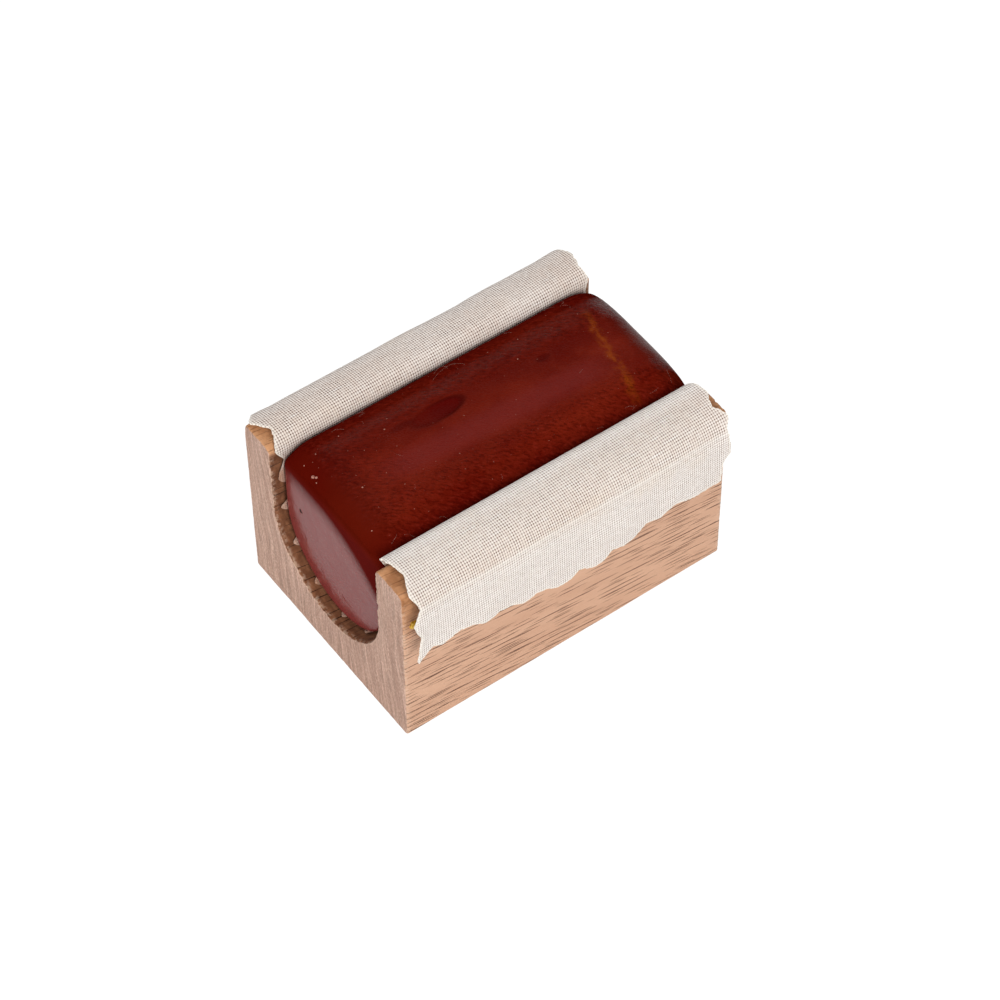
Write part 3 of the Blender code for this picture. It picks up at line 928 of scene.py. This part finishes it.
def make_rosin():
    front = end_rings(FRONT_FACE, 1)
    back = end_rings(ROSIN_BACK, -1)
    centre = np.array([0.0, AXIS_Z + 2.0])
    rows = []
    for share in np.linspace(0.03, 0.985, 52):
        rows.append((FRONT_FACE, centre + (front[0][1] - centre) * share))
    rows += front
    inner = np.linspace(ROSIN_FRONT + POUR_DEPTH, ROSIN_BACK - POUR_DEPTH, 150)[1:-1]
    whole = even_loop(rosin_outline(0.0, 0.0))
    rows += [(x, whole) for x in inner]
    rows += back[::-1]
    for share in (0.95, 0.85, 0.7, 0.55, 0.4, 0.25, 0.1):
        rows.append((ROSIN_BACK, centre + (back[0][1] - centre) * share))
    points = np.concatenate([np.column_stack([np.full(RING_COUNT, x), loop]) for x, loop in rows])
    faces = ring_faces(len(rows), RING_COUNT)
    # A fan closes each end.
    first, last = len(points), len(points) + 1
    points = np.concatenate([points, [(FRONT_FACE, *centre), (ROSIN_BACK, *centre)]])
    last_row = (len(rows) - 1) * RING_COUNT
    for i in range(RING_COUNT):
        j = (i + 1) % RING_COUNT
        faces.append((first, j, i))
        faces.append((last, last_row + i, last_row + j))
    made = build("rosin_bar", points, faces, resin)
    mesh = made.data
    normals = np.empty(len(points) * 3, np.float32)
    mesh.vertices.foreach_get("normal", normals)
    normals = normals.reshape(-1, 3).astype(float)
    points = points + normals * rosin_shift(points, normals)[:, None]
    mesh.vertices.foreach_set("co", (points * MM).astype(np.float32).ravel())
    mesh.update()
    return made


# --------------------------------------------------------------------- cloth
def path_table(runs):
    """(distance, outward, up) along one side's middle surface."""
    out, up, heading = CLOTH_R, AXIS_Z, math.radians(90)
    rows = [(0.0, out, up)]
    done = 0.0
    for length, turn in runs:
        steps = max(2, round(length / 0.05))
        turn = -math.radians(turn) / steps
        step = length / steps
        for _ in range(steps):
            out += step * math.cos(heading + turn / 2)
            up += step * math.sin(heading + turn / 2)
            heading += turn
            done += step
            rows.append((done, out, up))
    # A straight run past the end, for cut edges that reach beyond it.
    rows.append((done + 4.0, out + 4.0 * math.cos(heading), up + 4.0 * math.sin(heading)))
    return np.array(rows)


RIGHT_TABLE = path_table(RIGHT_RUNS)
LEFT_TABLE = path_table(LEFT_RUNS)

# Turning points of the pinked ends, as (t, x): tips and notches.
FRONT_EDGE = (
    (-58.0, -27.5), (-54.6, -28.6), (-50.9, -27.3), (-46.9, -28.6), (-43.2, -27.7),
    (-41.2, -28.6), (-39.8, -29.7), (-36.6, -27.75), (-32.9, -29.15), (-30.3, -27.6),
    (-26.3, -29.1), (-24.2, -26.4), (-21.6, -26.4), (-19.9, -29.1), (-17.6, -26.2),
    (-14.6, -26.2), (-12.9, -28.9), (-10.8, -26.2), (-7.8, -26.2), (-5.9, -28.8),
    (-3.8, -26.1), (-0.7, -26.1), (1.2, -28.65), (3.2, -26.1), (6.0, -26.1),
    (7.6, -28.4), (9.8, -26.3), (12.6, -26.4), (14.3, -28.7), (17.0, -26.6),
    (21.3, -28.8), (24.7, -27.4), (28.2, -28.8), (31.6, -27.6), (34.9, -28.85),
    (36.7, -28.85), (40.1, -28.05), (42.0, -28.9), (43.3, -29.35), (45.75, -28.5),
    (48.8, -30.05), (51.8, -28.8), (56.4, -29.65), (60.0, -29.3),
)
BACK_EDGE = (
    (-58.0, 28.2), (-55.0, 29.3), (-51.4, 28.0), (-48.0, 29.4), (-44.6, 28.1),
    (-41.6, 29.2), (-38.8, 29.9), (-35.5, 28.9), (-33.9, 29.45), (-31.6, 28.5),
    (-28.4, 29.4), (-25.0, 28.1), (-21.6, 29.3), (-18.2, 27.9), (-14.8, 29.2),
    (-11.4, 27.9), (-8.0, 29.2), (-4.6, 27.9), (-1.2, 29.1), (2.2, 27.9),
    (5.6, 29.2), (9.0, 27.9), (12.4, 29.2), (15.8, 28.0), (19.2, 29.2),
    (22.6, 28.0), (26.0, 29.1), (29.4, 27.9), (32.6, 28.6), (34.8, 27.5),
    (37.2, 28.2), (38.9, 28.45), (41.2, 27.4), (43.4, 28.9), (45.2, 27.9),
    (50.4, 28.35), (51.7, 26.95), (55.6, 26.6), (60.0, 26.4),
)
# Each flap's lower cut, as (x, distance along the flap's own path from the axis).
RIGHT_CUT = (
    (-30.5, 35.6), (-29.3, 36.2), (-28.4, 35.4), (-27.0, 34.15), (-24.9, 34.85),
    (-22.3, 33.8), (-19.0, 34.35), (-17.1, 35.3), (-14.4, 34.6), (-12.1, 35.1),
    (-9.3, 36.5), (-7.0, 35.85), (-5.3, 36.2), (-3.0, 37.3), (-0.8, 37.1),
    (0.9, 36.0), (3.4, 37.1), (5.2, 37.0), (7.2, 35.5), (9.4, 36.0),
    (11.3, 35.6), (13.6, 33.9), (16.2, 34.8), (19.3, 33.5), (22.4, 34.5),
    (25.0, 34.8), (28.0, 34.9), (30.0, 34.6),
)
LEFT_CUT = (
    (-30.5, 32.0), (-28.7, 33.2), (-25.4, 31.6), (-22.1, 32.9), (-18.9, 31.5),
    (-15.7, 33.0), (-12.2, 31.9), (-9.0, 33.4), (-5.6, 32.2), (-2.4, 33.6),
    (0.9, 32.3), (4.2, 33.5), (7.5, 32.0), (10.6, 33.0), (14.1, 31.4),
    (17.2, 32.7), (20.5, 31.3), (23.8, 32.8), (26.9, 31.7), (30.0, 32.6),
)


def wavy(points, at, blur=0.55):
    """The line through turning points, its corners rounded over about blur."""
    table = np.array(points)
    at = np.asarray(at, float)
    offsets = np.linspace(-blur, blur, 9)
    weights = np.cos(offsets / blur * math.pi / 2) + 0.02
    total = sum(
        weight * np.interp(at + offset, table[:, 0], table[:, 1])
        for offset, weight in zip(offsets, weights)
    )
    return total / weights.sum()


def ragged(at, seed):
    """Thread-by-thread unevenness of a cut edge."""
    thread = np.floor(np.asarray(at, float) / 0.42)
    jump = lattice(thread, thread * 0, thread * 0, seed)
    return 0.075 * jump + 0.06 * noise(np.asarray(at) / 0.9, seed=seed + 1)


def front_x(t):
    return wavy(FRONT_EDGE, t) + ragged(t, 31)


def back_x(t):
    return wavy(BACK_EDGE, t) + ragged(t, 37)


def cut_t(cut, sign, across):
    """t of a flap's lower cut at each share of the way from front to back."""
    nominal_x = -29.3 + 58.2 * across
    return sign * (QUARTER + wavy(cut, nominal_x, 0.5) + ragged(nominal_x, 41 + sign))


def middle(x, t):
    """The cloth's smooth middle surface."""
    x, t = np.broadcast_arrays(np.asarray(x, float), np.asarray(t, float))
    turn = np.clip(t, -QUARTER, QUARTER) / CLOTH_R
    y = -CLOTH_R * np.sin(turn)
    z = AXIS_Z - CLOTH_R * np.cos(turn)
    for sign, table in ((-1, RIGHT_TABLE), (1, LEFT_TABLE)):
        past = -sign * t - QUARTER
        y = np.where(past > 0, sign * np.interp(past, table[:, 0], table[:, 1]), y)
        z = np.where(past > 0, np.interp(past, table[:, 0], table[:, 2]), z)
    return np.stack([x, y, z], -1)


def crease_at(x, right):
    """1 along the loose crease that runs the length of the right flap."""
    return np.exp(-(((right - 25.3 - 0.25 * noise(x / 11.0, seed=25)) / 0.30) ** 2))


def lift_of(x, t):
    """How far the cloth stands off its smooth path, towards its upper side."""
    right = t - QUARTER
    left = -t - QUARTER
    over = np.maximum(smooth(14.0, 18.0, right), smooth(13.0, 16.0, left))
    hang = np.maximum(smooth(24.0, 33.0, right), smooth(21.5, 30.0, left))
    over_wave = 0.10 * noise(x / 8.5, t / 6.0, seed=21) + 0.05 * noise(x / 3.1, t / 2.6, seed=22)
    hang_wave = 0.30 * noise(x / 9.5, 4.0 + t / 14.0, seed=23)
    hang_wave = hang_wave + 0.10 * noise(x / 3.4, t / 4.5, seed=24)
    lift = over * over_wave + hang * hang_wave + 0.05 * crease_at(x, right)
    # The cut ends curl: the free corners lift a little.
    ends = smooth(24.0, 29.5, np.abs(x))
    return lift + ends * over * (0.12 + 0.10 * noise(x / 2.0, t / 3.5, seed=26))


def lifted(x, t):
    """Points of the uneven middle surface, and the normals of the smooth one."""
    step = 0.02
    ahead = middle(x, t + step) - middle(x, t - step)
    ahead /= np.linalg.norm(ahead, axis=-1)[..., None] + 1e-12
    # Upwards at the bottom of the trough, where t grows towards -Y.
    normal = np.cross(ahead, np.array([1.0, 0.0, 0.0]))
    return middle(x, t) + normal * lift_of(x, t)[..., None], normal


def cloth_points(x, t):
    """(top, bottom) points of the cloth at x and t, in millimetres."""
    point, normal = lifted(x, t)
    step = 0.05
    along_x = lifted(x + step, t)[0] - lifted(x - step, t)[0]
    along_t = lifted(x, t + step)[0] - lifted(x, t - step)[0]
    fine = np.cross(along_t, along_x)
    fine /= np.linalg.norm(fine, axis=-1)[..., None] + 1e-12
    flip = np.sign(np.sum(fine * normal, axis=-1))[..., None]
    fine = fine * np.where(flip == 0, 1.0, flip)
    half = CLOTH_THICK / 2
    return point + fine * half, point - fine * half


def shares(fine_steps, fine_part, coarse_steps):
    """0 to 1, with fine steps over fine_part at each end."""
    low = np.linspace(0, fine_part, fine_steps + 1)
    mid = np.linspace(fine_part, 1 - fine_part, coarse_steps + 1)[1:-1]
    return np.concatenate([low, mid, 1 - low[::-1]])


def sheet_faces(rows, columns):
    """Faces of a thick sheet: its top, its bottom, then its four edges."""
    count = columns * (rows + 1)
    faces = []
    for row in range(rows):
        for column in range(columns - 1):
            a = row * columns + column
            b = a + columns
            faces.append((a, a + 1, b + 1, b))
            faces.append((count + a, count + b, count + b + 1, count + a + 1))
    for row in range(rows):
        a = row * columns
        b = a + columns
        faces.append((a, b, count + b, count + a))
        a, b = a + columns - 1, b + columns - 1
        faces.append((a, count + a, count + b, b))
    for a in range(columns - 1):
        faces.append((a, count + a, count + a + 1, a + 1))
        b = rows * columns + a
        faces.append((b, b + 1, count + b + 1, count + b))
    return faces


def cloth_marks(x, t, hem):
    """Named values the calico material reads; hem is the distance to a cut edge."""
    right, left = t - QUARTER, -t - QUARTER
    open_right = smooth(15.5, 18.5, right) * (1 - smooth(24.3, 26.8, right))
    closing = smooth(17.5, 19.5, left) * 0.45
    open_left = smooth(-1.0, 3.0, left) * (1 - closing - smooth(21.0, 23.5, left) * 0.55)
    opened = np.where(t > 0, open_right, open_left)
    opened = opened * (0.75 + 0.25 * noise(x / 9.0, t / 5.0, seed=51))
    # Glue soaked in near the cut ends in the trough, with painted shade: the ends are darker.
    glue_and_shade = (1 - smooth(2.3, 4.0, hem)) * (1 - smooth(QUARTER + 7.4, QUARTER + 8.9, np.abs(t)))
    glue_and_shade = glue_and_shade * (0.86 + 0.14 * noise(t / 1.3, x / 1.0, seed=52))
    # Resin has crept a little way up the cloth from the bar's shoulders, and painted shade darkens
    # the cloth beside the bar.
    creep = 0.45 * noise(x / 2.5, seed=53)
    stain_and_shade_right = 1 - smooth(9.2, 12.6, right + creep)
    stain_and_shade_left = 1 - smooth(9.4, 12.4, left + creep)
    stain_and_shade = np.where(t > 0, stain_and_shade_right, stain_and_shade_left)
    stain_and_shade = stain_and_shade * smooth(-28.6, -27.4, x) * (1 - smooth(27.8, 28.8, x))
    return {
        "hem": hem,
        "open": opened,
        "glue_and_shade": np.clip(glue_and_shade, 0, 1),
        "stain_and_shade": stain_and_shade,
        "crease": crease_at(x, right),
    }


def make_cloth(name, t_start, t_stop, rows, across):
    """One length of the cloth. across holds the columns' shares from front to back;
    t_stop is one number, or one per column where the last row follows a cut."""
    pinked = np.ndim(t_stop) > 0
    down = np.linspace(0, 1, rows + 1)
    if pinked:
        # Rows close up towards the cut.
        down = 1 - (1 - down) ** 1.25
    share_x, share_t = np.meshgrid(across, down)
    t = t_start + (t_stop - t_start) * share_t
    front, back = front_x(t), back_x(t)
    x = front * (1 - share_x) + back * share_x
    top, bottom = cloth_points(x, t)
    points = np.concatenate([top.reshape(-1, 3), bottom.reshape(-1, 3)])
    uv = np.stack([x, t], -1).reshape(-1, 2)
    faces = sheet_faces(rows, len(across))
    made = build(name, points, faces, calico, uvs=np.concatenate([uv, uv]))
    sheet = bmesh.new()
    sheet.from_mesh(made.data)
    bmesh.ops.recalc_face_normals(sheet, faces=sheet.faces)
    sheet.to_mesh(made.data)
    sheet.free()
    made.data.set_sharp_from_angle(angle=math.radians(60.0))
    hem = np.minimum(x - front, back - x)
    if pinked:
        hem = np.minimum(hem, np.abs(t_stop - t))
    for key, value in cloth_marks(x, t, hem).items():
        flat = value.reshape(-1)
        point_attribute(made, key, np.concatenate([flat, flat]))
    return made


# ------------------------------------------------------------- main assembly
block = make_block()
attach(block, "holder")
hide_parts("holder_block")

bar = make_rosin()
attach(bar, "holder")
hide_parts("rosin_cake")

liner = make_cloth(
    "cloth_trough",
    t_start=-(QUARTER + LEFT_SEAMS[0]),
    t_stop=QUARTER + RIGHT_SEAMS[0],
    rows=190,
    across=shares(fine_steps=16, fine_part=0.06, coarse_steps=60),
)
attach(liner, "holder")
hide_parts("cloth_liner")

hang_across = np.linspace(0, 1, 250)
for side_name, sign, seams, bends, cut in (
    ("right", 1, RIGHT_SEAMS, RIGHT_BENDS, RIGHT_CUT),
    ("left", -1, LEFT_SEAMS, LEFT_BENDS, LEFT_CUT),
):
    over = make_cloth(
        f"{side_name}_cloth_over",
        t_start=sign * (QUARTER + seams[0]),
        t_stop=sign * (QUARTER + seams[1]),
        rows=44,
        across=shares(fine_steps=24, fine_part=0.08, coarse_steps=90),
    )
    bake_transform(over)
    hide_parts(f"{side_name}_flap_top")
    hang = make_cloth(
        f"{side_name}_cloth_hanging",
        t_start=sign * (QUARTER + seams[1]),
        t_stop=cut_t(cut, sign, hang_across),
        rows=78,
        across=hang_across,
    )
    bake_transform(hang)
    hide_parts(f"{side_name}_flap_hang")

# ---------------------------------------------------------- glue, dust, lint
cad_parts["glue_film"].data.materials.clear()
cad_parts["glue_film"].data.materials.append(glue)


def make_glue_drop():
    """A lobed, slightly sagging drop on the right wall."""
    low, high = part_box("glue_bead")
    centre = np.array((low + high) / 2) / MM
    half = np.array(high - low) / MM / 2
    wall_y = -HALF_WIDTH - 0.02
    turns, levels = 28, 12
    points = []
    for k in range(levels + 1):
        lift = math.radians(90 * k / levels)
        sag = -0.18 * half[2] * math.sin(lift)
        for i in range(turns):
            angle = 2 * math.pi * i / turns
            cosine, sine = math.cos(angle), math.sin(angle)
            lobe = 1 + 0.16 * noise(2.2 * cosine, 2.2 * sine, k * 0.12, seed=61)
            points.append(
                (
                    centre[0] + half[0] * lobe * math.cos(lift) * cosine,
                    wall_y - half[1] * 1.7 * math.sin(lift),
                    centre[2] + half[2] * lobe * math.cos(lift) * sine + sag,
                )
            )
    return build("glue_drop", points, closed_faces(levels + 1, turns), glue, sharp=50.0)


drop = make_glue_drop()
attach(drop, "holder")
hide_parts("glue_bead")


def surface_height(obj):
    """A function giving the height of obj's top at (x, y) in mm, or None off it."""
    tree = BVHTree.FromObject(obj, bpy.context.evaluated_depsgraph_get())

    def height_at(x, y):
        hit = tree.ray_cast(Vector((x * MM, y * MM, 0.1)), Vector((0, 0, -1)))[0]
        return hit.z / MM if hit is not None else None

    return height_at


# Larger crumbs, as (distance behind the bar's front, y, radius).
FLAKES = (
    (0.55, 5.6, 0.33), (0.80, 5.1, 0.22), (0.40, 4.5, 0.12), (0.75, 8.3, 0.11),
    (2.8, 8.2, 0.12), (7.4, 8.9, 0.12), (4.4, -1.8, 0.13), (1.5, -8.3, 0.13),
    (13.4, 5.5, 0.12),
)
# Rings of a crumb, as (height, width) in radii.
CRUMB_RINGS = ((-0.2, 0.75), (0.25, 1.0), (0.75, 0.6))


def make_specks(height_at):
    """A few larger flakes where the front edge has chipped, then fine dust."""
    rng = np.random.default_rng(7)
    spots = [(ROSIN_FRONT + behind, y, radius) for behind, y, radius in FLAKES]
    spots.append((0.5 * (ROSIN_FRONT + ROSIN_BACK) + 9.0, 4.9, 0.11))
    for _ in range(95):
        x = rng.uniform(ROSIN_FRONT + 1.5, ROSIN_BACK - 2.0)
        spots.append((x, rng.uniform(-11.0, 11.5), 0.03 + 0.05 * rng.random() ** 3))
    turns = 6
    points, faces = [], []
    for x, y, radius in spots:
        z = height_at(x, y)
        if z is None or z < 32.0:
            continue
        faces += closed_faces(len(CRUMB_RINGS), turns, start=len(points))
        stretch = rng.uniform(0.7, 1.5)
        for height, width in CRUMB_RINGS:
            for i in range(turns):
                angle = 2 * math.pi * i / turns
                reach = radius * width * rng.uniform(0.75, 1.2)
                out_x, out_y = reach * stretch * math.cos(angle), reach * math.sin(angle)
                points.append((x + out_x, y + out_y, z + radius * height))
    return build("rosin_specks", points, faces, dust, sharp=30.0)


# Listed fibres, as (x, y, heading in radians, length).
LONG_FIBRES = (
    (-3.0, 9.6, 0.6, 5.4), (0.4, 10.3, 1.2, 3.2), (-25.4, -11.6, 0.5, 1.6), (26.6, -11.2, 1.4, 2.4),
)


def make_lint(height_at):
    """Cotton fibres caught on the bar, most of them close to the cloth."""
    rng = np.random.default_rng(19)
    spots = list(LONG_FIBRES)
    for _ in range(22):
        side = rng.choice((-1, 1))
        x, y = rng.uniform(-24, 26), side * rng.uniform(10.6, 12.2)
        spots.append((x, y, rng.uniform(-0.5, 0.5), rng.uniform(0.8, 2.2)))
    for _ in range(4):
        x, y = rng.uniform(-20, 24), rng.uniform(-8, 9)
        spots.append((x, y, rng.uniform(-1.5, 1.5), rng.uniform(0.6, 1.4)))
    points, faces = [], []
    steps = 14
    for x, y, heading, length in spots:
        path = []
        bend = rng.uniform(-1.6, 1.6) / steps
        for k in range(steps + 1):
            z = height_at(x, y)
            if z is None:
                break
            hop = 0.03 + 0.07 * math.sin(math.pi * k / steps)
            path.append((x, y, z + hop))
            heading += bend + rng.uniform(-0.12, 0.12)
            x += length / steps * math.cos(heading)
            y += length / steps * math.sin(heading)
            y = float(np.clip(y, -12.6, 12.6))
        if len(path) < 5:
            continue
        tube_points, tube_faces = tube(path, 0.005 + 0.002 * rng.random())
        base = len(points)
        points += tube_points
        faces += [tuple(base + i for i in face) for face in tube_faces]
    return build("lint_fibres", points, faces, cotton)


top_at = surface_height(bar)
for made in (make_specks(top_at), make_lint(top_at)):
    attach(made, "holder")


# ------------------------------------------------------ floor, light, camera
FLOOR_R = 1600
FLOOR_Z = -0.02


def make_floor():
    turns = 96
    points = [(0.0, 0.0, FLOOR_Z)]
    for i in range(turns):
        angle = 2 * math.pi * i / turns
        points.append((FLOOR_R * math.cos(angle), FLOOR_R * math.sin(angle), FLOOR_Z))
    faces = [(0, 1 + i, 1 + (i + 1) % turns) for i in range(turns)]
    mat = new_material("floor_paper")
    # Seen directly, the paper is lit almost to white from within.
    seen = mat.output(mat.add("ShaderNodeLightPath"), "Is Camera Ray")
    paper = mat.set(
        Base_Color=mat.mix(seen, (0.80, 0.80, 0.80), (0.12, 0.12, 0.12)),
        Roughness=0.9,
        Specular_IOR_Level=0.0,
        Emission_Color=(1.0, 1.0, 1.0),
        Emission_Strength=seen * 0.955,
    )
    return build("floor_sheet", points, faces, paper)


make_floor()

scene = bpy.context.scene
scene.view_settings.view_transform = "Standard"
scene.view_settings.look = "None"


def make_world():
    """White to the camera, dim in reflections and dimmest overhead."""
    world = bpy.data.worlds.new("studio")
    scene.world = world
    sky = Nodes(world, "Background")
    path = sky.add("ShaderNodeLightPath")
    up = sky.split(sky.output(sky.add("ShaderNodeTexCoord"), "Generated"))[2]
    reflected = up.ramp(start=-0.02, stop=0.38, before=0.10, after=0.015)
    strength = sky.blend(sky.output(path, "Is Glossy Ray"), 0.44, reflected)
    strength = sky.blend(sky.output(path, "Is Camera Ray"), strength, 1.0)
    sky.set(Color=(1.0, 1.0, 1.0), Strength=strength)


make_world()
LIGHT_AIM = (0, 0, 0.02)


def softbox(name, place, size, watts, colour=(1.0, 1.0, 1.0)):
    light = bpy.data.lights.new(name, "AREA")
    light.shape = "DISK"
    light.size = size
    light.energy = watts
    light.color = colour
    lamp = bpy.data.objects.new(name, light)
    lamp.location = place
    lamp.rotation_euler = (Vector(LIGHT_AIM) - Vector(place)).to_track_quat("-Z", "Y").to_euler()
    lamp.visible_glossy = False
    scene.collection.objects.link(lamp)


softbox("key", place=(-0.18, -0.62, 0.52), size=0.36, watts=4.1, colour=(1.0, 0.985, 0.96))
softbox("fill", place=(-0.62, 0.10, 0.40), size=0.40, watts=1.65)
softbox("rim", place=(0.35, 0.55, 0.50), size=0.50, watts=1.0)

camera = bpy.data.cameras.new("camera")
camera.lens = 122.64
camera.sensor_width = 36.0
camera.clip_start, camera.clip_end = 0.01, 10.0
eye = bpy.data.objects.new("camera", camera)
eye.location = (-0.191435, -0.270712, 0.423140)
eye.rotation_euler = Euler([math.radians(angle) for angle in (39.0401, 0.3805, -36.0817)], "XYZ")
scene.collection.objects.link(eye)
scene.camera = eye

bpy.context.view_layer.update()
